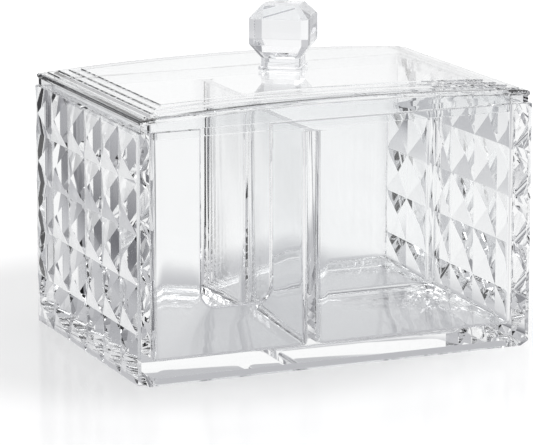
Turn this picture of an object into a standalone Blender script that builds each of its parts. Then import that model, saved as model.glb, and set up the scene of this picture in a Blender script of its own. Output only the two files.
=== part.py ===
"""Clear vanity box with an arched lift-off lid and a faceted knob.

Metres, +Z up. X runs along the width, Y from front to back. The origin is the middle
of the footprint, on the surface that the box stands on.
"""

import math

import bmesh
import bpy
from mathutils import Matrix, Vector

# Box as a whole
box_width = 0.150
box_depth = 0.105
wall_height = 0.0889
panel_thickness = 0.003

# Bonded seams and loose fits
seam_gap = 0.0003
lid_clearance = 0.0004
edge_chamfer = 0.0004

# Front panel: a finger slot open at the rim, and small cuts at the feet
slot_width = 0.0262
slot_margin = 0.0228
slot_sill_height = 0.026
slot_corner_radius = 0.0055
foot_cut_width = 0.003
foot_cut_height = 0.0017

# Side panels: a grid of four-sided pyramids that stand out from the wall
side_wall_thickness = 0.0048
pyramid_relief = 0.0022
pyramid_columns = 6
pyramid_rows = 5

# Compartments
inner_corner_radius = 0.004
divider_thickness = 0.003
divider_headroom = 0.0011
left_compartment_width = 0.0597
front_compartment_depth = 0.059
floor_underside_height = 0.0022
floor_thickness = 0.0058

# Lid
lid_inset = 0.0005
lid_edge_height = 0.0046
lid_arch_rise = 0.0028
outer_step_width = 0.0062
outer_step_height = 0.0006
inner_step_width = 0.0029
inner_step_height = 0.0009
window_margin = 0.0035
lid_skin_thickness = 0.0026
lip_depth = 0.003
lip_thickness = 0.0016
lip_overlap = 0.002

# Knob: a cut stone with square tiers whose corners are cut off
knob_offset = 0.0013
knob_turn_degrees = -35.0
knob_corner_share = 0.105
knob_foot_width = 0.0140
knob_girdle_width = 0.0218
knob_table_width = 0.0136
knob_pavilion_height = 0.0052
knob_girdle_height = 0.0094
knob_crown_height = 0.0046
collar_height = 0.0044
collar_pad_width = 0.0158
collar_pad_height = 0.0012

# Construction
cut_overrun = 0.004
flare_sweep_degrees = 75.0
arc_steps = 8
arch_steps = 24
weld_distance = 0.00001

# Places that several pieces share
front_inner_face = -box_depth / 2 + panel_thickness
back_inner_face = box_depth / 2 - panel_thickness
side_inner_face = box_width / 2 - side_wall_thickness
floor_top_height = floor_underside_height + floor_thickness
lip_bottom_height = wall_height - lip_depth
divider_top_height = lip_bottom_height - divider_headroom
divider_x = -side_inner_face + left_compartment_width + divider_thickness / 2
cross_divider_y = front_inner_face + front_compartment_depth + divider_thickness / 2
lid_bottom_height = wall_height + seam_gap
lid_steps_height = outer_step_height + inner_step_height
lid_crown_height = lid_bottom_height + lid_edge_height + lid_arch_rise + lid_steps_height

clear_tint = (0.93, 0.95, 0.96, 1.0)
clear_roughness = 0.03
clear_ior = 1.49


def remove_everything():
    """Empties the file without closing it."""
    for item in list(bpy.data.objects):
        bpy.data.objects.remove(item, do_unlink=True)
    for group in list(bpy.data.collections):
        bpy.data.collections.remove(group)


def new_collection(name):
    """A collection linked to the scene."""
    group = bpy.data.collections.new(name)
    bpy.context.scene.collection.children.link(group)
    return group


def clear_plastic(name):
    """Colourless see-through plastic for one piece."""
    material = bpy.data.materials.new(name)
    material.use_nodes = True
    shader = material.node_tree.nodes["Principled BSDF"]
    shader.inputs["Base Color"].default_value = clear_tint
    shader.inputs["Roughness"].default_value = clear_roughness
    shader.inputs["Metallic"].default_value = 0.0
    shader.inputs["IOR"].default_value = clear_ior
    shader.inputs["Transmission Weight"].default_value = 1.0
    return material


def add_object(name, mesh, matrix, group):
    """Places a mesh in a collection."""
    item = bpy.data.objects.new(name, mesh)
    item.matrix_world = matrix
    group.objects.link(item)
    return item


def arc(centre, radius, start_degrees, end_degrees):
    """Points of an arc, both ends included."""
    points = []
    for step in range(arc_steps + 1):
        share = step / arc_steps
        angle = math.radians(start_degrees + (end_degrees - start_degrees) * share)
        points.append((centre[0] + radius * math.cos(angle), centre[1] + radius * math.sin(angle)))
    return points


def outline_object(name, loops, thickness, matrix, group):
    """Flat outline given thickness: a filled 2D curve, made a welded mesh."""
    curve = bpy.data.curves.new(name, "CURVE")
    curve.dimensions = "2D"
    curve.fill_mode = "BOTH"
    curve.extrude = thickness / 2
    for loop in loops:
        spline = curve.splines.new("POLY")
        spline.points.add(len(loop) - 1)
        for point, place in zip(spline.points, loop):
            point.co = (place[0], place[1], 0.0, 1.0)
        spline.use_cyclic_u = True
    guide = bpy.data.objects.new(name + "_curve", curve)
    bpy.context.scene.collection.objects.link(guide)
    guide.matrix_world = matrix
    graph = bpy.context.evaluated_depsgraph_get()
    mesh = bpy.data.meshes.new_from_object(guide.evaluated_get(graph))
    mesh.name = name
    shape = bmesh.new()
    shape.from_mesh(mesh)
    bmesh.ops.remove_doubles(shape, verts=shape.verts, dist=weld_distance)
    bmesh.ops.recalc_face_normals(shape, faces=shape.faces)
    shape.to_mesh(mesh)
    shape.free()
    item = add_object(name, mesh, matrix, group)
    bpy.data.objects.remove(guide, do_unlink=True)
    return item


def flat_at(bottom, thickness):
    """Lays an XY outline level, its lower face at a height."""
    return Matrix.Translation((0.0, 0.0, bottom + thickness / 2))


def upright_at(front, thickness):
    """Stands an XZ outline up, its front face at a place along Y."""
    turn = Matrix.Rotation(math.radians(90.0), 4, "X")
    return Matrix.Translation((0.0, front + thickness / 2, 0.0)) @ turn


def chamfer_edges(item):
    """Breaks the sharp edges of a moulded piece."""
    bevel = item.modifiers.new("edges", "BEVEL")
    bevel.width = edge_chamfer
    bevel.segments = 1
    bevel.limit_method = "ANGLE"
    bevel.angle_limit = math.radians(50.0)


def as_cutter(item):
    """Marks an object as a guide that is never seen."""
    item.hide_render = True
    item.display_type = "WIRE"
    return item


def combine(item, tool, operation):
    """Exact boolean between a piece and a hidden tool."""
    step = item.modifiers.new(operation.lower(), "BOOLEAN")
    step.operation = operation
    step.solver = "EXACT"
    step.object = as_cutter(tool)


def finish(item):
    """Gives a piece its own material."""
    item.data.materials.clear()
    item.data.materials.append(clear_plastic(item.name))
    return item


def slot_outline():
    """Open slot in the rim, walked from its right lip down and up to its left lip."""
    left = -box_width / 2 + slot_margin
    right = left + slot_width
    low = slot_sill_height + slot_corner_radius
    points = [(right, wall_height)]
    points += arc((right - slot_corner_radius, low), slot_corner_radius, 0.0, -90.0)
    points += arc((left + slot_corner_radius, low), slot_corner_radius, -90.0, -180.0)
    points.append((left, wall_height))
    return points


def make_front_panel(parts):
    """Flat sheet over the ends of the side panels, with the finger slot."""
    half = box_width / 2
    feet = [
        (-half, foot_cut_height),
        (-half + foot_cut_width, 0.0),
        (half - foot_cut_width, 0.0),
        (half, foot_cut_height),
    ]
    outline = feet + [(half, wall_height)] + slot_outline() + [(-half, wall_height)]
    place = upright_at(-box_depth / 2, panel_thickness)
    item = outline_object("front_panel", [outline], panel_thickness, place, parts)
    chamfer_edges(item)
    return finish(item)


def make_back_panel(parts):
    """Flat sheet between the side panels."""
    half = side_inner_face - seam_gap
    outline = [(-half, 0.0), (half, 0.0), (half, wall_height), (-half, wall_height)]
    place = upright_at(back_inner_face, panel_thickness)
    item = outline_object("back_panel", [outline], panel_thickness, place, parts)
    chamfer_edges(item)
    return finish(item)


def pyramid_block(name, side, front, back, cutters):
    """Solid that lies outside a side panel, its inner face dented by the pyramids."""
    # One cell more all round, so that the block reaches past the panel's edges
    columns = pyramid_columns + 2
    rows = pyramid_rows + 2
    pyramid_length = (back - front) / pyramid_columns
    pyramid_height = wall_height / pyramid_rows
    shape = bmesh.new()
    grid = bmesh.ops.create_grid(shape, x_segments=columns, y_segments=rows, size=1.0)
    sheet = Matrix.Diagonal((columns * pyramid_length / 2, rows * pyramid_height / 2, 1.0, 1.0))
    bmesh.ops.transform(shape, matrix=sheet, verts=grid["verts"])
    rim = [edge for edge in shape.edges if edge.is_boundary]
    bmesh.ops.poke(shape, faces=shape.faces[:], offset=pyramid_relief)
    skirt = bmesh.ops.extrude_edge_only(shape, edges=rim)["geom"]
    outer = [piece for piece in skirt if isinstance(piece, bmesh.types.BMVert)]
    bmesh.ops.translate(shape, verts=outer, vec=(0.0, 0.0, pyramid_relief + cut_overrun))
    outer_rim = [piece for piece in skirt if isinstance(piece, bmesh.types.BMEdge)]
    bmesh.ops.contextual_create(shape, geom=[edge for edge in outer_rim if edge.is_boundary])
    bmesh.ops.recalc_face_normals(shape, faces=shape.faces)
    mesh = bpy.data.meshes.new(name)
    shape.to_mesh(mesh)
    shape.free()
    # The sheet's own X, Y and Z become the box's Y, Z and sideways outward
    stand = Matrix(((0, 0, side, 0), (side, 0, 0, 0), (0, 1, 0, 0), (0, 0, 0, 1)))
    centre = Vector((side * box_width / 2, (front + back) / 2, wall_height / 2))
    return add_object(name, mesh, Matrix.Translation(centre) @ stand, cutters)


def make_side_panel(name, side, parts, cutters):
    """Wall with pyramids outside, smooth inside and flared into the two flat panels."""
    front = front_inner_face + seam_gap
    rebate = back_inner_face - seam_gap
    back = box_depth / 2
    outer = box_width / 2 + pyramid_relief + cut_overrun / 2
    centre_x = side_inner_face - inner_corner_radius
    radius = inner_corner_radius
    near = arc((centre_x, front + radius), radius, -flare_sweep_degrees, 0.0)
    far = arc((centre_x, rebate - radius), radius, 0.0, flare_sweep_degrees)
    outline = [(near[0][0], front)] + near + far
    outline += [(far[-1][0], rebate), (side_inner_face, rebate), (side_inner_face, back)]
    outline += [(outer, back), (outer, front)]
    outline = [(side * x, y) for x, y in outline]
    item = outline_object(name, [outline], wall_height, flat_at(0.0, wall_height), parts)
    block = pyramid_block(name + "_pyramids", side, front, back, cutters)
    combine(item, block, "DIFFERENCE")
    return finish(item)


def rounded_rectangle(half_x, half_y, radius):
    """Rectangle about the origin with round corners."""
    points = arc((half_x - radius, half_y - radius), radius, 0.0, 90.0)
    points += arc((-half_x + radius, half_y - radius), radius, 90.0, 180.0)
    points += arc((-half_x + radius, -half_y + radius), radius, 180.0, 270.0)
    points += arc((half_x - radius, -half_y + radius), radius, 270.0, 360.0)
    return points


def make_floor_plate(parts):
    """Raised floor, its corners rounded to the walls' flared corners."""
    half_x = side_inner_face - seam_gap
    half_y = back_inner_face - seam_gap
    outline = rounded_rectangle(half_x, half_y, inner_corner_radius)
    place = flat_at(floor_underside_height, floor_thickness)
    item = outline_object("floor_plate", [outline], floor_thickness, place, parts)
    chamfer_edges(item)
    return finish(item)


def flared_outline(start, end):
    """Plan of a divider along its own X, flared where it meets a wall at either end."""
    half = divider_thickness / 2
    radius = inner_corner_radius
    near = arc((start + radius, half + radius), radius, 270.0 - flare_sweep_degrees, 270.0)
    near = [(start, near[0][1])] + near
    far = [(start + end - x, y) for x, y in reversed(near)]
    upper = near + far
    lower = [(x, -y) for x, y in reversed(upper)]
    return upper + lower


def make_centre_divider(parts):
    """Wall from front to back beside the left compartment."""
    outline = flared_outline(front_inner_face + seam_gap, back_inner_face - seam_gap)
    outline = [(-y, x) for x, y in outline]
    bottom = floor_top_height + seam_gap
    height = divider_top_height - bottom
    place = Matrix.Translation((divider_x, 0.0, 0.0)) @ flat_at(bottom, height)
    item = outline_object("centre_divider", [outline], height, place, parts)
    chamfer_edges(item)
    return finish(item)


def make_cross_divider(parts):
    """Wall that parts the two right compartments."""
    start = divider_x + divider_thickness / 2 + seam_gap
    outline = flared_outline(start, side_inner_face - seam_gap)
    bottom = floor_top_height + seam_gap
    height = divider_top_height - bottom
    place = Matrix.Translation((0.0, cross_divider_y, 0.0)) @ flat_at(bottom, height)
    item = outline_object("cross_divider", [outline], height, place, parts)
    chamfer_edges(item)
    return finish(item)


def arch_rise(x):
    """Height that the lid's arch adds at a place along the width."""
    share = x / (box_width / 2)
    return lid_arch_rise * (1.0 - share * share)


def arched_curve(half_x, end_height):
    """Points along the arch from left to right."""
    points = []
    for step in range(arch_steps + 1):
        x = half_x * (2.0 * step / arch_steps - 1.0)
        points.append((x, end_height + arch_rise(x)))
    return points


def arched_block(name, half_x, half_y, bottom, top, group):
    """Solid under the arch with a level underside."""
    outline = [(half_x, bottom), (-half_x, bottom)] + arched_curve(half_x, top)
    return outline_object(name, [outline], 2 * half_y, upright_at(-half_y, 2 * half_y), group)


def inset_block(name, inset, bottom, top, group):
    """Arched solid set in from the box's outline by the same width on all four sides."""
    return arched_block(name, box_width / 2 - inset, box_depth / 2 - inset, bottom, top, group)


def make_lid_frame(parts, cutters):
    """Stepped border that rests on the walls and carries the clear window."""
    edge_top = lid_bottom_height + lid_edge_height
    first_top = edge_top + outer_step_height
    second_top = first_top + inner_step_height
    first_inset = lid_inset + outer_step_width
    second_inset = first_inset + inner_step_width
    window_inset = second_inset + window_margin
    middle = lid_bottom_height + lid_edge_height / 2
    below = lid_bottom_height - cut_overrun
    item = inset_block("lid_frame", lid_inset, lid_bottom_height, edge_top, parts)
    combine(item, inset_block("lid_first_step", first_inset, middle, first_top, cutters), "UNION")
    combine(item, inset_block("lid_second_step", second_inset, middle, second_top, cutters), "UNION")
    recess_x = side_inner_face - lid_clearance + seam_gap
    recess_y = back_inner_face - lid_clearance + seam_gap
    recess_top = first_top - lid_skin_thickness
    recess = arched_block("lid_recess", recess_x, recess_y, below, recess_top, cutters)
    combine(item, recess, "DIFFERENCE")
    opening_top = second_top + cut_overrun
    opening = inset_block("lid_opening", window_inset, below - cut_overrun, opening_top, cutters)
    combine(item, opening, "DIFFERENCE")
    return finish(item)


def make_lid_window(parts):
    """Arched clear sheet set in the border, level with its highest step."""
    inset = lid_inset + outer_step_width + inner_step_width + window_margin + seam_gap
    half_x = box_width / 2 - inset
    half_y = box_depth / 2 - inset
    top = lid_bottom_height + lid_edge_height + lid_steps_height
    upper = arched_curve(half_x, top)
    lower = arched_curve(half_x, top - lid_skin_thickness)
    outline = list(reversed(upper)) + lower
    place = upright_at(-half_y, 2 * half_y)
    item = outline_object("lid_window", [outline], 2 * half_y, place, parts)
    return finish(item)


def make_locating_lip(parts):
    """Ring under the lid that drops inside the walls and keeps the lid in place."""
    half_x = side_inner_face - lid_clearance
    half_y = back_inner_face - lid_clearance
    radius = inner_corner_radius - lid_clearance
    outer = rounded_rectangle(half_x, half_y, inner_corner_radius)
    inner = rounded_rectangle(half_x - lip_thickness, half_y - lip_thickness, radius - lip_thickness)
    height = lip_depth + lip_overlap
    place = flat_at(lip_bottom_height, height)
    item = outline_object("locating_lip", [outer, inner], height, place, parts)
    return finish(item)


def cut_square(width, height):
    """Square about the origin with its corners cut off, at a height."""
    half = width / 2
    near = half - width * knob_corner_share
    places = [(near, -half), (half, -near), (half, near), (near, half),
              (-near, half), (-half, near), (-half, -near), (-near, -half)]
    return [(x, y, height) for x, y in places]


def loft(name, tiers, matrix, group):
    """Closed solid through rings of equal count, from the lowest to the highest."""
    shape = bmesh.new()
    rings = [[shape.verts.new(place) for place in tier] for tier in tiers]
    for low, high in zip(rings, rings[1:]):
        for index, corner in enumerate(low):
            after = (index + 1) % len(low)
            shape.faces.new((corner, low[after], high[after], high[index]))
    shape.faces.new(list(reversed(rings[0])))
    shape.faces.new(rings[-1])
    bmesh.ops.recalc_face_normals(shape, faces=shape.faces)
    mesh = bpy.data.meshes.new(name)
    shape.to_mesh(mesh)
    shape.free()
    return add_object(name, mesh, matrix, group)


def make_knob(parts):
    """Faceted grip: pavilion below, upright girdle, crown and flat table."""
    foot = lid_crown_height + collar_height + seam_gap
    girdle_low = knob_pavilion_height
    girdle_high = girdle_low + knob_girdle_height
    table = girdle_high + knob_crown_height
    tiers = [
        cut_square(knob_foot_width, 0.0),
        cut_square(knob_girdle_width, girdle_low),
        cut_square(knob_girdle_width, girdle_high),
        cut_square(knob_table_width, table),
    ]
    turn = Matrix.Rotation(math.radians(knob_turn_degrees), 4, "Z")
    item = loft("knob", tiers, Matrix.Translation((knob_offset, 0.0, foot)) @ turn, parts)
    return finish(item)


def make_knob_collar(parts):
    """Short neck on a low pad, between the lid's window and the knob."""
    # The window's arch falls away from its crown, so the neck starts a seam above the crown
    bottom = lid_crown_height + seam_gap
    height = collar_height - seam_gap
    turn = Matrix.Rotation(math.radians(knob_turn_degrees), 4, "Z")
    tiers = [
        cut_square(collar_pad_width, 0.0),
        cut_square(collar_pad_width, collar_pad_height),
        cut_square(knob_foot_width, collar_pad_height),
        cut_square(knob_foot_width, height),
    ]
    item = loft("knob_collar", tiers, Matrix.Translation((knob_offset, 0.0, bottom)) @ turn, parts)
    return finish(item)


def hang_on_lid(pieces, parts):
    """Parents the lid's pieces to an empty that lifts straight up."""
    lid = bpy.data.objects.new("lid_lift", None)
    lid.location = (0.0, 0.0, lid_bottom_height)
    parts.objects.link(lid)
    bpy.context.view_layer.update()
    for piece in pieces:
        piece.parent = lid
        piece.matrix_parent_inverse = lid.matrix_world.inverted()


def build():
    """Makes the whole box."""
    remove_everything()
    parts = new_collection("cotton_swab_holder")
    cutters = new_collection("cutters")
    make_front_panel(parts)
    make_back_panel(parts)
    make_side_panel("left_side_panel", -1, parts, cutters)
    make_side_panel("right_side_panel", 1, parts, cutters)
    make_floor_plate(parts)
    make_centre_divider(parts)
    make_cross_divider(parts)
    lid_pieces = [
        make_lid_frame(parts, cutters),
        make_lid_window(parts),
        make_locating_lip(parts),
        make_knob_collar(parts),
        make_knob(parts),
    ]
    hang_on_lid(lid_pieces, parts)


build()
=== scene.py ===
"""Looks of the clear vanity box: clear moulded plastic on a white table."""

import math

import bmesh
import bpy
from mathutils import Matrix, Vector


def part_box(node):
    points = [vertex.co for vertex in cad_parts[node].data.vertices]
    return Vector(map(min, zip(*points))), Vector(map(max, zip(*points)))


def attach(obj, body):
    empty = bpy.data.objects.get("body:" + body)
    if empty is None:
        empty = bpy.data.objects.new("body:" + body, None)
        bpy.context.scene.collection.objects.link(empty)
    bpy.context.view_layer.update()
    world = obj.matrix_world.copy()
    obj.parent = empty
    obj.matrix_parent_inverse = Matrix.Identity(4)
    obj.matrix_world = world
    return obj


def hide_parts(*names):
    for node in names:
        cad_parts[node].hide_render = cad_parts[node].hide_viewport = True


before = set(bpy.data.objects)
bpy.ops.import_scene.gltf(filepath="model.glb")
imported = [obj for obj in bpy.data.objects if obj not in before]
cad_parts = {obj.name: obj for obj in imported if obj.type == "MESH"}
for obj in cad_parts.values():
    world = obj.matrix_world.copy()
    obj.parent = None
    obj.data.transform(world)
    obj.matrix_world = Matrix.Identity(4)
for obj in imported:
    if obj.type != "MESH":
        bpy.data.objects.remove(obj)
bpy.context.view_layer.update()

# Units
mm = 0.001

# Box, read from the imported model
front_low, front_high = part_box("front_panel")
back_low, back_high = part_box("back_panel")
side_low, side_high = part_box("right_side_panel")
floor_low, floor_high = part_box("floor_plate")
centre_low, centre_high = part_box("centre_divider")
cross_low, cross_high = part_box("cross_divider")
half_width = front_high.x
half_depth = -front_low.y
wall_height = front_high.z
front_inner = front_high.y
back_inner = back_low.y

# Box details
inner_radius = 4.0 * mm
floor_radius = 1.5 * mm
pyramid_columns = 6
pyramid_rows = 5
pyramid_root = 2.0 * mm
divider_thickness = 3.0 * mm
foot_cut_width = 3.0 * mm
foot_cut_height = 1.7 * mm
slot_width = 26.2 * mm
slot_margin = 22.8 * mm
slot_sill = 26.0 * mm
slot_radius = 5.5 * mm
slot_edge_round = 0.9 * mm
edge_round = 0.4 * mm
sharp_edge_degrees = 32.0
cut_overrun = 4.0 * mm

side_inner = back_high.x
pyramid_relief = side_high.x - half_width
pyramid_length = (side_high.y - side_low.y) / pyramid_columns
pyramid_height = wall_height / pyramid_rows
divider_x = (centre_low.x + centre_high.x) / 2
cross_y = (cross_low.y + cross_high.y) / 2
divider_top = centre_high.z
floor_top = floor_high.z
floor_under = floor_low.z

# Lid
frame_low, frame_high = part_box("lid_frame")
lip_low, lip_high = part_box("locating_lip")
knob_low, knob_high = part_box("knob")
collar_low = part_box("knob_collar")[0]
lid_bottom = frame_low.z
lid_half_width = frame_high.x
lid_half_depth = frame_high.y
lid_edge_height = 4.6 * mm
lid_arch_rise = 2.8 * mm
skirt_inset = 0.5 * mm
skirt_thickness = 1.6 * mm
lid_round = 0.45 * mm
plate_nose = 1.0 * mm
outer_step_width = 6.2 * mm
outer_step_height = 0.6 * mm
inner_step_width = 2.9 * mm
inner_step_height = 0.9 * mm
window_margin = 3.5 * mm
fine_step = 0.5 * mm
lid_skin = 2.3 * mm
lid_overlap = 1.0 * mm
lip_thickness = 1.6 * mm

# Knob
knob_turn = math.radians(-35.0)
knob_middle = (knob_low.x + knob_high.x) / 2
knob_corner_share = 0.105
knob_round = 0.15 * mm
knob_edge_degrees = 10.0
collar_pad = 15.8 * mm
collar_pad_height = 1.2 * mm
knob_foot = 14.0 * mm
knob_girdle = 21.8 * mm
knob_table = 13.6 * mm
pavilion_height = 5.2 * mm
girdle_height = 9.4 * mm

# Clear plastic
plastic_tint = (0.985, 0.99, 0.992)
knob_tint = (0.97, 0.975, 0.985)
refraction = 1.49
ripple_scale = 25.0
ripple_strength = 0.15
ripple_depth = 0.2 * mm
shadow_veil = (0.93, 0.935, 0.94)

# Camera
camera_place = (-485.0 * mm, -1107.5 * mm, 309.6 * mm)
camera_yaw = math.radians(23.419)
camera_pitch = math.radians(12.517)
sensor_width = 36.0
focal_pixels = 3399.1
photo_pixels = 533

# Table and lamp
table_reach = 6000.0 * mm
table_thickness = 10.0 * mm
table_gap = 0.05 * mm
table_white = 0.45
table_roughness = 0.12
table_gloss_share = 0.14
lamp_size = 800.0 * mm
lamp_energy = 4.0
lamp_place = (100.0 * mm, 200.0 * mm, 900.0 * mm)
lamp_aim = (0.0, 0.0, 50.0 * mm)
clear_bounces = 32
gloss_bounces = 16

# Grey tones of the studio, each stop a place and its tone. The table's tones are painted light and shade
# in its glow, the room's tones are its light. Places on the table are in metres from the box's middle, and
# places in the room are parts of a direction, along an axis turned to the backdrop
room_turn = math.radians(23.4)
# Painted light across the table: bright behind the box, a painted shadow left of it, and painted fall-off
# further out
painted_light_across = ((-0.60, 0.85), (-0.35, 0.65), (-0.22, 0.35), (-0.14, 0.15), (-0.10, 0.60), (-0.07, 1.0),
                (0.15, 1.0), (0.35, 0.90), (0.60, 0.65), (1.0, 0.55))
# Painted light along the table: it falls off towards the front
painted_light_ahead = ((-0.40, 0.60), (-0.12, 0.80), (0.0, 1.0), (0.5, 1.0))
# Painted shade under the box: the table's glow is darker close beneath it
painted_shade_under_box = ((0.0, 0.55), (0.08, 0.55), (0.12, 1.0), (0.2, 1.0))
# Painted shadow round the box in the table's glow as the camera sees it, about a centre near the box's left
# half
painted_shadow_tones = ((0.0, 0.40), (0.09, 0.42), (0.14, 0.62), (0.25, 0.85), (0.4, 0.97))
painted_shadow_centre = (-0.03, 0.03)
room_ahead = ((-1.0, 0.90), (-0.6, 0.75), (0.0, 0.25), (0.80, 0.25), (0.92, 0.95), (1.0, 1.05))
room_across = ((-1.0, 0.45), (-0.9, 0.4), (-0.6, 0.0), (1.0, 0.0))
room_up = ((0.0, 0.0), (0.75, 0.0), (0.95, 0.6), (1.0, 0.6))
cool_dark = (0.0, 0.0, 0.012)
cool_middle = (0.49, 0.493, 0.515)

# Smoothness
arc_steps = 12
arch_steps = 64
fillet_steps = 8
slot_steps = 4
bevel_steps = 2
crease = math.radians(12.0)


def arc(centre, radius, start_degrees, end_degrees):
    """Points of an arc, both ends included."""
    points = []
    for step in range(arc_steps + 1):
        angle = math.radians(start_degrees + (end_degrees - start_degrees) * step / arc_steps)
        points.append((centre[0] + radius * math.cos(angle), centre[1] + radius * math.sin(angle)))
    return points


def rounded_rectangle(low, high, radius):
    """Rectangle between two corners with round corners, anticlockwise."""
    points = arc((high[0] - radius, high[1] - radius), radius, 0.0, 90.0)
    points += arc((low[0] + radius, high[1] - radius), radius, 90.0, 180.0)
    points += arc((low[0] + radius, low[1] + radius), radius, 180.0, 270.0)
    points += arc((high[0] - radius, low[1] + radius), radius, 270.0, 360.0)
    return points


def add_mesh(name, shape):
    """Turns a bmesh into an object of the scene."""
    bmesh.ops.recalc_face_normals(shape, faces=shape.faces)
    mesh = bpy.data.meshes.new(name)
    shape.to_mesh(mesh)
    shape.free()
    item = bpy.data.objects.new(name, mesh)
    bpy.context.scene.collection.objects.link(item)
    return item


def prism(name, outline, bottom, top, upright=False):
    """Closed solid from an outline: an XY one between two heights, or an XZ one between two depths."""
    shape = bmesh.new()
    if upright:
        places = [(u, bottom, v) for u, v in outline]
        travel = (0.0, top - bottom, 0.0)
    else:
        places = [(u, v, bottom) for u, v in outline]
        travel = (0.0, 0.0, top - bottom)
    face = shape.faces.new([shape.verts.new(place) for place in places])
    grown = bmesh.ops.extrude_face_region(shape, geom=[face])["geom"]
    moved = [piece for piece in grown if isinstance(piece, bmesh.types.BMVert)]
    bmesh.ops.translate(shape, verts=moved, vec=travel)
    return add_mesh(name, shape)


def joined_rings(shape, tiers):
    """Rings of vertices, one for each tier of places, with faces from each ring to the next."""
    rings = [[shape.verts.new(place) for place in tier] for tier in tiers]
    for low, high in zip(rings, rings[1:]):
        for index, corner in enumerate(low):
            after = (index + 1) % len(low)
            shape.faces.new((corner, low[after], high[after], high[index]))
    return rings


def block(name, low, high):
    """Box between two corners."""
    return prism(name, [(low[0], low[1]), (high[0], low[1]), (high[0], high[1]), (low[0], high[1])],
                 low[2], high[2])


def apply_modifiers(item):
    """Replaces an object's mesh by what its modifiers make of it."""
    graph = bpy.context.evaluated_depsgraph_get()
    made = bpy.data.meshes.new_from_object(item.evaluated_get(graph))
    item.modifiers.clear()
    item.data = made
    return item


def combine(item, tool, operation):
    """Exact boolean with a tool that is then removed."""
    step = item.modifiers.new("step", "BOOLEAN")
    step.operation = operation
    step.solver = "EXACT"
    step.object = tool
    apply_modifiers(item)
    bpy.data.objects.remove(tool, do_unlink=True)
    return item


def round_edges(item, width, degrees):
    """Small rounded edges with even shading on the flats."""
    bevel = item.modifiers.new("edges", "BEVEL")
    bevel.width = width
    bevel.segments = bevel_steps
    bevel.limit_method = "ANGLE"
    bevel.angle_limit = math.radians(degrees)
    bevel.harden_normals = True
    bevel.use_clamp_overlap = True
    return item


def round_where(item, chosen, width, segments):
    """Rounds the edges that a test picks out."""
    shape = bmesh.new()
    shape.from_mesh(item.data)
    edges = [edge for edge in shape.edges if chosen(edge)]
    bmesh.ops.bevel(shape, geom=edges, offset=width, segments=segments, affect="EDGES", profile=0.5)
    shape.to_mesh(item.data)
    shape.free()
    return item


def cavity(name, low, high):
    """Tool for one compartment: round upright corners and a small round at the floor."""
    radius = inner_radius
    item = prism(name, rounded_rectangle(low, high, radius), floor_top, wall_height + cut_overrun)
    return round_where(item, lambda edge: all(abs(v.co.z - floor_top) < edge_round for v in edge.verts),
                       floor_radius, fillet_steps)


def pyramids(name, side):
    """Sheet of four-sided pyramids that stands on one side wall, rooted in it."""
    shape = bmesh.new()
    grid = bmesh.ops.create_grid(shape, x_segments=pyramid_columns, y_segments=pyramid_rows, size=1.0)
    half_length = pyramid_columns * pyramid_length / 2
    half_height = pyramid_rows * pyramid_height / 2
    scale = Matrix.Diagonal((half_length, half_height, 1.0, 1.0))
    bmesh.ops.transform(shape, matrix=scale, verts=grid["verts"])
    rim = [edge for edge in shape.edges if edge.is_boundary]
    bmesh.ops.poke(shape, faces=shape.faces[:], offset=pyramid_relief)
    skirt = bmesh.ops.extrude_edge_only(shape, edges=rim)["geom"]
    inner = [piece for piece in skirt if isinstance(piece, bmesh.types.BMVert)]
    bmesh.ops.translate(shape, verts=inner, vec=(0.0, 0.0, -pyramid_root))
    edges = [piece for piece in skirt if isinstance(piece, bmesh.types.BMEdge) and piece.is_boundary]
    bmesh.ops.contextual_create(shape, geom=edges)
    stand = Matrix(((0, 0, side, 0), (side, 0, 0, 0), (0, 1, 0, 0), (0, 0, 0, 1)))
    centre = Vector((side * half_width, (side_low.y + side_high.y) / 2, wall_height / 2))
    bmesh.ops.transform(shape, matrix=Matrix.Translation(centre) @ stand, verts=shape.verts)
    return add_mesh(name, shape)


def slot_tool():
    """Tool for the finger slot, open at the rim."""
    left = -half_width + slot_margin
    right = left + slot_width
    low = slot_sill + slot_radius
    top = wall_height + cut_overrun
    outline = [(right, top)]
    outline += arc((right - slot_radius, low), slot_radius, 0.0, -90.0)
    outline += arc((left + slot_radius, low), slot_radius, -90.0, -180.0)
    outline.append((left, top))
    return prism("slot_tool", outline, -half_depth - cut_overrun, front_inner + cut_overrun, upright=True)


def foot_cut(side):
    """Tool for the small cut at one lower corner of the front sheet."""
    corner = side * half_width
    beyond = corner + side * cut_overrun
    outline = [(beyond, -cut_overrun), (corner - side * foot_cut_width, -cut_overrun),
               (corner - side * foot_cut_width, 0.0), (corner, foot_cut_height), (beyond, foot_cut_height)]
    return prism("foot_cut", outline, -half_depth - cut_overrun, front_inner, upright=True)


def on_slot(edge):
    """Whether an edge runs round the finger slot, on either face of the front wall."""
    places = [vert.co for vert in edge.verts]
    left = -half_width + slot_margin - edge_round
    right = -half_width + slot_margin + slot_width + edge_round
    level = all(abs(place.y - places[0].y) < edge_round for place in places)
    inside = all(left < place.x < right and place.z > slot_sill - edge_round for place in places)
    rim = all(place.z > wall_height - edge_round for place in places)
    return level and inside and not rim and places[0].y < front_inner + edge_round


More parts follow.
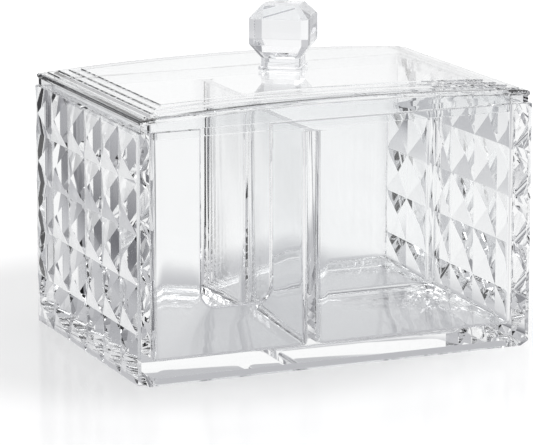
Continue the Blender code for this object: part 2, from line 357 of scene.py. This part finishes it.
def make_box():
    """The open box as one clear moulding, with no seams between its walls."""
    half = half_width
    item = block("clear_box", (-half, -half_depth, 0.0), (half, half_depth, wall_height))
    for name, side in (("left_pyramids", -1), ("right_pyramids", 1)):
        combine(item, pyramids(name, side), "UNION")
    left_wall = divider_x - divider_thickness / 2
    right_wall = divider_x + divider_thickness / 2
    front_wall = cross_y - divider_thickness / 2
    back_wall = cross_y + divider_thickness / 2
    combine(item, cavity("left_cavity", (-side_inner, front_inner), (left_wall, back_inner)), "DIFFERENCE")
    combine(item, cavity("front_cavity", (right_wall, front_inner), (side_inner, front_wall)), "DIFFERENCE")
    combine(item, cavity("back_cavity", (right_wall, back_wall), (side_inner, back_inner)), "DIFFERENCE")
    inside = rounded_rectangle((-side_inner, front_inner), (side_inner, back_inner), inner_radius)
    combine(item, prism("mouth", inside, divider_top, wall_height + cut_overrun), "DIFFERENCE")
    combine(item, prism("recess", inside, -cut_overrun, floor_under), "DIFFERENCE")
    for side in (-1, 1):
        combine(item, foot_cut(side), "DIFFERENCE")
    combine(item, slot_tool(), "DIFFERENCE")
    round_where(item, on_slot, slot_edge_round, slot_steps)
    return round_edges(item, edge_round, sharp_edge_degrees)


def arch_rise(x):
    """Height that the lid's arch adds at a place along the width."""
    share = x / half_width
    return lid_arch_rise * (1.0 - share * share)


def arch_places(half_x):
    """Even places along the arch, from left to right."""
    return [half_x * (2.0 * step / arch_steps - 1.0) for step in range(arch_steps + 1)]


def arched_block(name, half_x, half_y, bottom, end_top):
    """Solid under the arch with a level underside."""
    outline = [(half_x, bottom), (-half_x, bottom)]
    outline += [(x, end_top + arch_rise(x)) for x in arch_places(half_x)]
    return prism(name, outline, -half_y, half_y, upright=True)


def inset_block(name, inset, bottom, end_top):
    """Arched solid set in from the lid's outline by the same width all round."""
    return arched_block(name, lid_half_width - inset, lid_half_depth - inset, bottom, end_top)


def arched_ring(inset, height):
    """The lid's outline set in by a width and laid along the arch at a height."""
    half_y = lid_half_depth - inset
    places = arch_places(lid_half_width - inset)
    front = [(x, -half_y, height + arch_rise(x)) for x in places]
    return front + [(x, half_y, height + arch_rise(x)) for x in reversed(places)]


def arched_plate(name, tiers):
    """Arched plate whose rim runs through tiers, each an inset from the lid's outline and a height."""
    shape = bmesh.new()
    rings = joined_rings(shape, [arched_ring(inset, height) for inset, height in tiers])
    for ring in (rings[0], rings[-1]):
        for step in range(arch_steps):
            shape.faces.new((ring[step], ring[step + 1], ring[-step - 2], ring[-step - 1]))
    return add_mesh(name, shape)


def make_lip(end_top):
    """Ring that drops inside the walls, its upper edge arched so that it ends within the lid."""
    outer = rounded_rectangle((-lip_high.x, -lip_high.y), (lip_high.x, lip_high.y), inner_radius)
    inner_x = lip_high.x - lip_thickness
    inner_y = lip_high.y - lip_thickness
    inner = rounded_rectangle((-inner_x, -inner_y), (inner_x, inner_y), inner_radius - lip_thickness)
    below = lip_low.z - lid_overlap
    high = end_top + lid_arch_rise + lid_overlap
    item = prism("lip", outer, lip_low.z, high)
    combine(item, prism("lip_hole", inner, below, high + lid_overlap), "DIFFERENCE")
    limit = arched_block("lip_limit", lid_half_width, lid_half_depth, below, end_top)
    return combine(item, limit, "INTERSECT")


def make_lid():
    """The lid as one thin clear moulding: stepped border, arched window, skirt and locating lip."""
    edge_top = lid_bottom + lid_edge_height
    first_top = edge_top + outer_step_height
    second_top = first_top + inner_step_height
    first_inset = outer_step_width
    second_inset = first_inset + inner_step_width
    window_inset = second_inset + window_margin
    middle = lid_bottom + lid_edge_height / 2
    item = inset_block("clear_lid", skirt_inset, lid_bottom, edge_top - lid_overlap)
    rim = edge_top - fine_step
    plate = arc((plate_nose, rim - plate_nose), plate_nose, 270.0, 90.0)
    combine(item, arched_plate("plate", plate), "UNION")
    for inset, top in ((outer_step_width / 2, edge_top), (first_inset, first_top),
                       (second_inset, second_top - fine_step), (window_inset, second_top)):
        combine(item, inset_block("step", inset, middle, top), "UNION")
    below = lid_bottom - cut_overrun
    for inset, top in ((skirt_inset + skirt_thickness, edge_top), (first_inset + lid_skin / 2, first_top),
                       (second_inset + lid_skin / 2, second_top)):
        combine(item, inset_block("hollow", inset, below, top - lid_skin), "DIFFERENCE")
    combine(item, make_lip(rim - lid_overlap), "UNION")
    return round_edges(item, lid_round, sharp_edge_degrees)


def cut_square(width, height):
    """Square about the origin with its corners cut off, at a height."""
    half = width / 2
    near = half - width * knob_corner_share
    places = [(near, -half), (half, -near), (half, near), (near, half),
              (-near, half), (-half, near), (-half, -near), (-near, -half)]
    return [(x, y, height) for x, y in places]


def make_knob():
    """Knob and its neck, faceted like a cut stone."""
    pad_top = collar_low.z + collar_pad_height
    girdle_bottom = knob_low.z + pavilion_height
    tiers = [
        cut_square(collar_pad, collar_low.z),
        cut_square(collar_pad, pad_top),
        cut_square(knob_foot, pad_top),
        cut_square(knob_foot, knob_low.z),
        cut_square(knob_girdle, girdle_bottom),
        cut_square(knob_girdle, girdle_bottom + girdle_height),
        cut_square(knob_table, knob_high.z),
    ]
    shape = bmesh.new()
    rings = joined_rings(shape, tiers)
    shape.faces.new(list(reversed(rings[0])))
    shape.faces.new(rings[-1])
    bmesh.ops.rotate(shape, verts=shape.verts, cent=(0, 0, 0), matrix=Matrix.Rotation(knob_turn, 3, "Z"))
    bmesh.ops.translate(shape, verts=shape.verts, vec=(knob_middle, 0.0, 0.0))
    return round_edges(add_mesh("clear_knob", shape), knob_round, knob_edge_degrees)


def by_ray(tree, kind, usual, special):
    """Shader that is special for one kind of ray and usual for all others."""
    path = tree.nodes.new("ShaderNodeLightPath")
    mix = tree.nodes.new("ShaderNodeMixShader")
    tree.links.new(path.outputs[kind], mix.inputs["Fac"])
    tree.links.new(usual, mix.inputs[1])
    tree.links.new(special, mix.inputs[2])
    return mix.outputs["Shader"]


def moulding_ripple(tree):
    """Faint waves of a moulded surface, as a normal."""
    place = tree.nodes.new("ShaderNodeTexCoord")
    ripple = tree.nodes.new("ShaderNodeTexNoise")
    ripple.inputs["Scale"].default_value = ripple_scale
    ripple.inputs["Detail"].default_value = 0.0
    tree.links.new(place.outputs["Object"], ripple.inputs["Vector"])
    bump = tree.nodes.new("ShaderNodeBump")
    bump.inputs["Strength"].default_value = ripple_strength
    bump.inputs["Distance"].default_value = ripple_depth
    tree.links.new(ripple.outputs["Fac"], bump.inputs["Height"])
    return bump.outputs["Normal"]


def clear_plastic(name, tint):
    """Colourless plastic with a faint moulding ripple. Its shadow is light, as clear plastic's is."""
    material = bpy.data.materials.new(name)
    material.use_nodes = True
    tree = material.node_tree
    shader = tree.nodes["Principled BSDF"]
    shader.inputs["Base Color"].default_value = (*tint, 1.0)
    shader.inputs["Transmission Weight"].default_value = 1.0
    shader.inputs["IOR"].default_value = refraction
    shader.inputs["Roughness"].default_value = 0.0
    tree.links.new(moulding_ripple(tree), shader.inputs["Normal"])
    veil = tree.nodes.new("ShaderNodeBsdfTransparent")
    veil.inputs["Color"].default_value = (*shadow_veil, 1.0)
    surface = by_ray(tree, "Is Shadow Ray", shader.outputs["BSDF"], veil.outputs["BSDF"])
    tree.links.new(surface, tree.nodes["Material Output"].inputs["Surface"])
    return material


def dress(item, body, nodes, material):
    """Gives a piece its material, smooth shading and body, and hides the model's nodes that it stands for.
    """
    item.data.materials.clear()
    item.data.materials.append(material)
    item.data.shade_smooth()
    item.data.set_sharp_from_angle(angle=crease)
    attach(item, body)
    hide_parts(*nodes)


def maths(tree, operation, first, second=0.0):
    """Math node on sockets or plain numbers."""
    node = tree.nodes.new("ShaderNodeMath")
    node.operation = operation
    for socket, value in zip(node.inputs, (first, second)):
        if isinstance(value, bpy.types.NodeSocket):
            tree.links.new(value, socket)
        else:
            socket.default_value = value
    return node.outputs["Value"]


def graded(tree, value, stops):
    """Grey tone that runs smoothly through the stops, each a place and its tone."""
    first, last = stops[0][0], stops[-1][0]
    fit = tree.nodes.new("ShaderNodeMapRange")
    fit.inputs["From Min"].default_value = first
    fit.inputs["From Max"].default_value = last
    tree.links.new(value, fit.inputs["Value"])
    ramp = tree.nodes.new("ShaderNodeValToRGB")
    ramp.color_ramp.interpolation = "EASE"
    while len(ramp.color_ramp.elements) < len(stops):
        ramp.color_ramp.elements.new(0.5)
    for element, (place, tone) in zip(ramp.color_ramp.elements, stops):
        element.position = (place - first) / (last - first)
    for element, (place, tone) in zip(ramp.color_ramp.elements, stops):
        element.color = (tone, tone, tone, 1.0)
    tree.links.new(fit.outputs["Result"], ramp.inputs["Fac"])
    return ramp.outputs["Color"]


def distance(tree, x, y, centre):
    """Level distance from a place."""
    dx = maths(tree, "SUBTRACT", x, centre[0])
    dy = maths(tree, "SUBTRACT", y, centre[1])
    squares = maths(tree, "ADD", maths(tree, "MULTIPLY", dx, dx), maths(tree, "MULTIPLY", dy, dy))
    return maths(tree, "SQRT", squares)


def across_and_ahead(tree, vector):
    """Splits a level vector into its parts across and along the room's axis."""
    split = tree.nodes.new("ShaderNodeSeparateXYZ")
    tree.links.new(vector, split.inputs["Vector"])
    x, y = split.outputs["X"], split.outputs["Y"]
    across = maths(tree, "SUBTRACT", maths(tree, "MULTIPLY", x, math.cos(room_turn)),
                   maths(tree, "MULTIPLY", y, math.sin(room_turn)))
    ahead = maths(tree, "ADD", maths(tree, "MULTIPLY", x, math.sin(room_turn)),
                  maths(tree, "MULTIPLY", y, math.cos(room_turn)))
    return across, ahead, split.outputs["Z"]


def cooled(tree, tone):
    """Tints a grey tone slightly blue in its darker half."""
    tint = tree.nodes.new("ShaderNodeValToRGB")
    tint.color_ramp.elements[0].color = (*cool_dark, 1.0)
    tint.color_ramp.elements[1].color = (1.0, 1.0, 1.0, 1.0)
    middle = tint.color_ramp.elements.new(0.5)
    middle.color = (*cool_middle, 1.0)
    tree.links.new(tone, tint.inputs["Fac"])
    return tint.outputs["Color"]


def lit_table_with_painted_shadow(tree, x, y):
    """The table as the camera sees it: white, lit by the lamp, with a glow that carries a painted shadow
    round the box, and slightly glossy.
    """
    diffuse = tree.nodes.new("ShaderNodeBsdfDiffuse")
    diffuse.inputs["Color"].default_value = (table_white, table_white, table_white, 1.0)
    glow = tree.nodes.new("ShaderNodeEmission")
    # Painted shadow: the glow is darker near the box and white further out
    tree.links.new(graded(tree, distance(tree, x, y, painted_shadow_centre), painted_shadow_tones), glow.inputs["Color"])
    both = tree.nodes.new("ShaderNodeAddShader")
    tree.links.new(diffuse.outputs["BSDF"], both.inputs[0])
    tree.links.new(glow.outputs["Emission"], both.inputs[1])
    gloss = tree.nodes.new("ShaderNodeBsdfGlossy")
    gloss.inputs["Roughness"].default_value = table_roughness
    seen = tree.nodes.new("ShaderNodeMixShader")
    seen.inputs["Fac"].default_value = table_gloss_share
    tree.links.new(both.outputs["Shader"], seen.inputs[1])
    tree.links.new(gloss.outputs["BSDF"], seen.inputs[2])
    return seen.outputs["Shader"]


def painted_table_light(tree, x, y):
    """The table as clear plastic sees it: a glow with painted light fall-off along the box's width and
    depth and a painted shade under the box.
    """
    # Painted light fall-off across and along the table, times the painted shade under the box
    tone = maths(tree, "MULTIPLY", graded(tree, x, painted_light_across), graded(tree, y, painted_light_ahead))
    reach = distance(tree, x, y, (0.0, 0.0))
    tone = maths(tree, "MULTIPLY", tone, graded(tree, reach, painted_shade_under_box))
    fall_off = tree.nodes.new("ShaderNodeEmission")
    tree.links.new(cooled(tree, tone), fall_off.inputs["Color"])
    return fall_off.outputs["Emission"]


def table_material():
    """White table: lit for the camera, with a painted shadow in its glow round the box; for light that
    passes through clear plastic, a glow with painted light fall-off and painted shade under the box.
    """
    material = bpy.data.materials.new("white_table")
    material.use_nodes = True
    tree = material.node_tree
    tree.nodes.remove(tree.nodes["Principled BSDF"])
    place = tree.nodes.new("ShaderNodeNewGeometry")
    split = tree.nodes.new("ShaderNodeSeparateXYZ")
    tree.links.new(place.outputs["Position"], split.inputs["Vector"])
    x, y = split.outputs["X"], split.outputs["Y"]
    surface = by_ray(tree, "Is Camera Ray", painted_table_light(tree, x, y), lit_table_with_painted_shadow(tree, x, y))
    tree.links.new(surface, tree.nodes["Material Output"].inputs["Surface"])
    return material


def make_table():
    """Level white table, wider than any view."""
    reach = table_reach
    item = block("white_table", (-reach, -reach, -table_thickness), (reach, reach, -table_gap))
    item.data.materials.append(table_material())


def make_world():
    """White to the camera. Otherwise a room with a bright backdrop and greyer sides and top."""
    world = bpy.data.worlds.new("studio")
    bpy.context.scene.world = world
    world.use_nodes = True
    tree = world.node_tree
    plain = tree.nodes["Background"]
    plain.inputs["Color"].default_value = (1.0, 1.0, 1.0, 1.0)
    room = tree.nodes.new("ShaderNodeBackground")
    place = tree.nodes.new("ShaderNodeTexCoord")
    across, ahead, up = across_and_ahead(tree, place.outputs["Generated"])
    tone = maths(tree, "ADD", graded(tree, ahead, room_ahead), graded(tree, up, room_up))
    tone = maths(tree, "ADD", tone, graded(tree, across, room_across))
    tree.links.new(cooled(tree, tone), room.inputs["Color"])
    surface = by_ray(tree, "Is Camera Ray", room.outputs["Background"], plain.outputs["Background"])
    tree.links.new(surface, tree.nodes["World Output"].inputs["Surface"])


def make_camera():
    """Camera solved from the box's own edges in the photograph."""
    data = bpy.data.cameras.new("camera")
    data.sensor_width = sensor_width
    data.lens = sensor_width * focal_pixels / photo_pixels
    item = bpy.data.objects.new("camera", data)
    item.location = camera_place
    level = math.cos(camera_pitch)
    ahead = Vector((math.sin(camera_yaw) * level, math.cos(camera_yaw) * level, -math.sin(camera_pitch)))
    item.rotation_euler = ahead.to_track_quat("-Z", "Y").to_euler()
    bpy.context.scene.collection.objects.link(item)
    bpy.context.scene.camera = item


def make_lights():
    """Large soft lamp above."""
    data = bpy.data.lights.new("overhead", "AREA")
    data.shape = "SQUARE"
    data.size = lamp_size
    data.energy = lamp_energy
    item = bpy.data.objects.new("overhead", data)
    item.location = lamp_place
    item.rotation_euler = (Vector(lamp_aim) - item.location).to_track_quat("-Z", "Y").to_euler()
    bpy.context.scene.collection.objects.link(item)


make_camera()
make_world()
make_lights()
make_table()
box_plastic = clear_plastic("box_plastic", plastic_tint)
lid_plastic = clear_plastic("lid_plastic", plastic_tint)
knob_plastic = clear_plastic("knob_plastic", knob_tint)
dress(make_box(), "box",
      ["front_panel", "back_panel", "left_side_panel", "right_side_panel", "floor_plate",
       "centre_divider", "cross_divider"], box_plastic)
dress(make_lid(), "lid", ["lid_frame", "lid_window", "locating_lip"], lid_plastic)
dress(make_knob(), "lid", ["knob", "knob_collar"], knob_plastic)

bpy.context.scene.view_settings.view_transform = "Standard"
bpy.context.scene.cycles.max_bounces = clear_bounces
bpy.context.scene.cycles.transmission_bounces = clear_bounces
bpy.context.scene.cycles.glossy_bounces = gloss_bounces
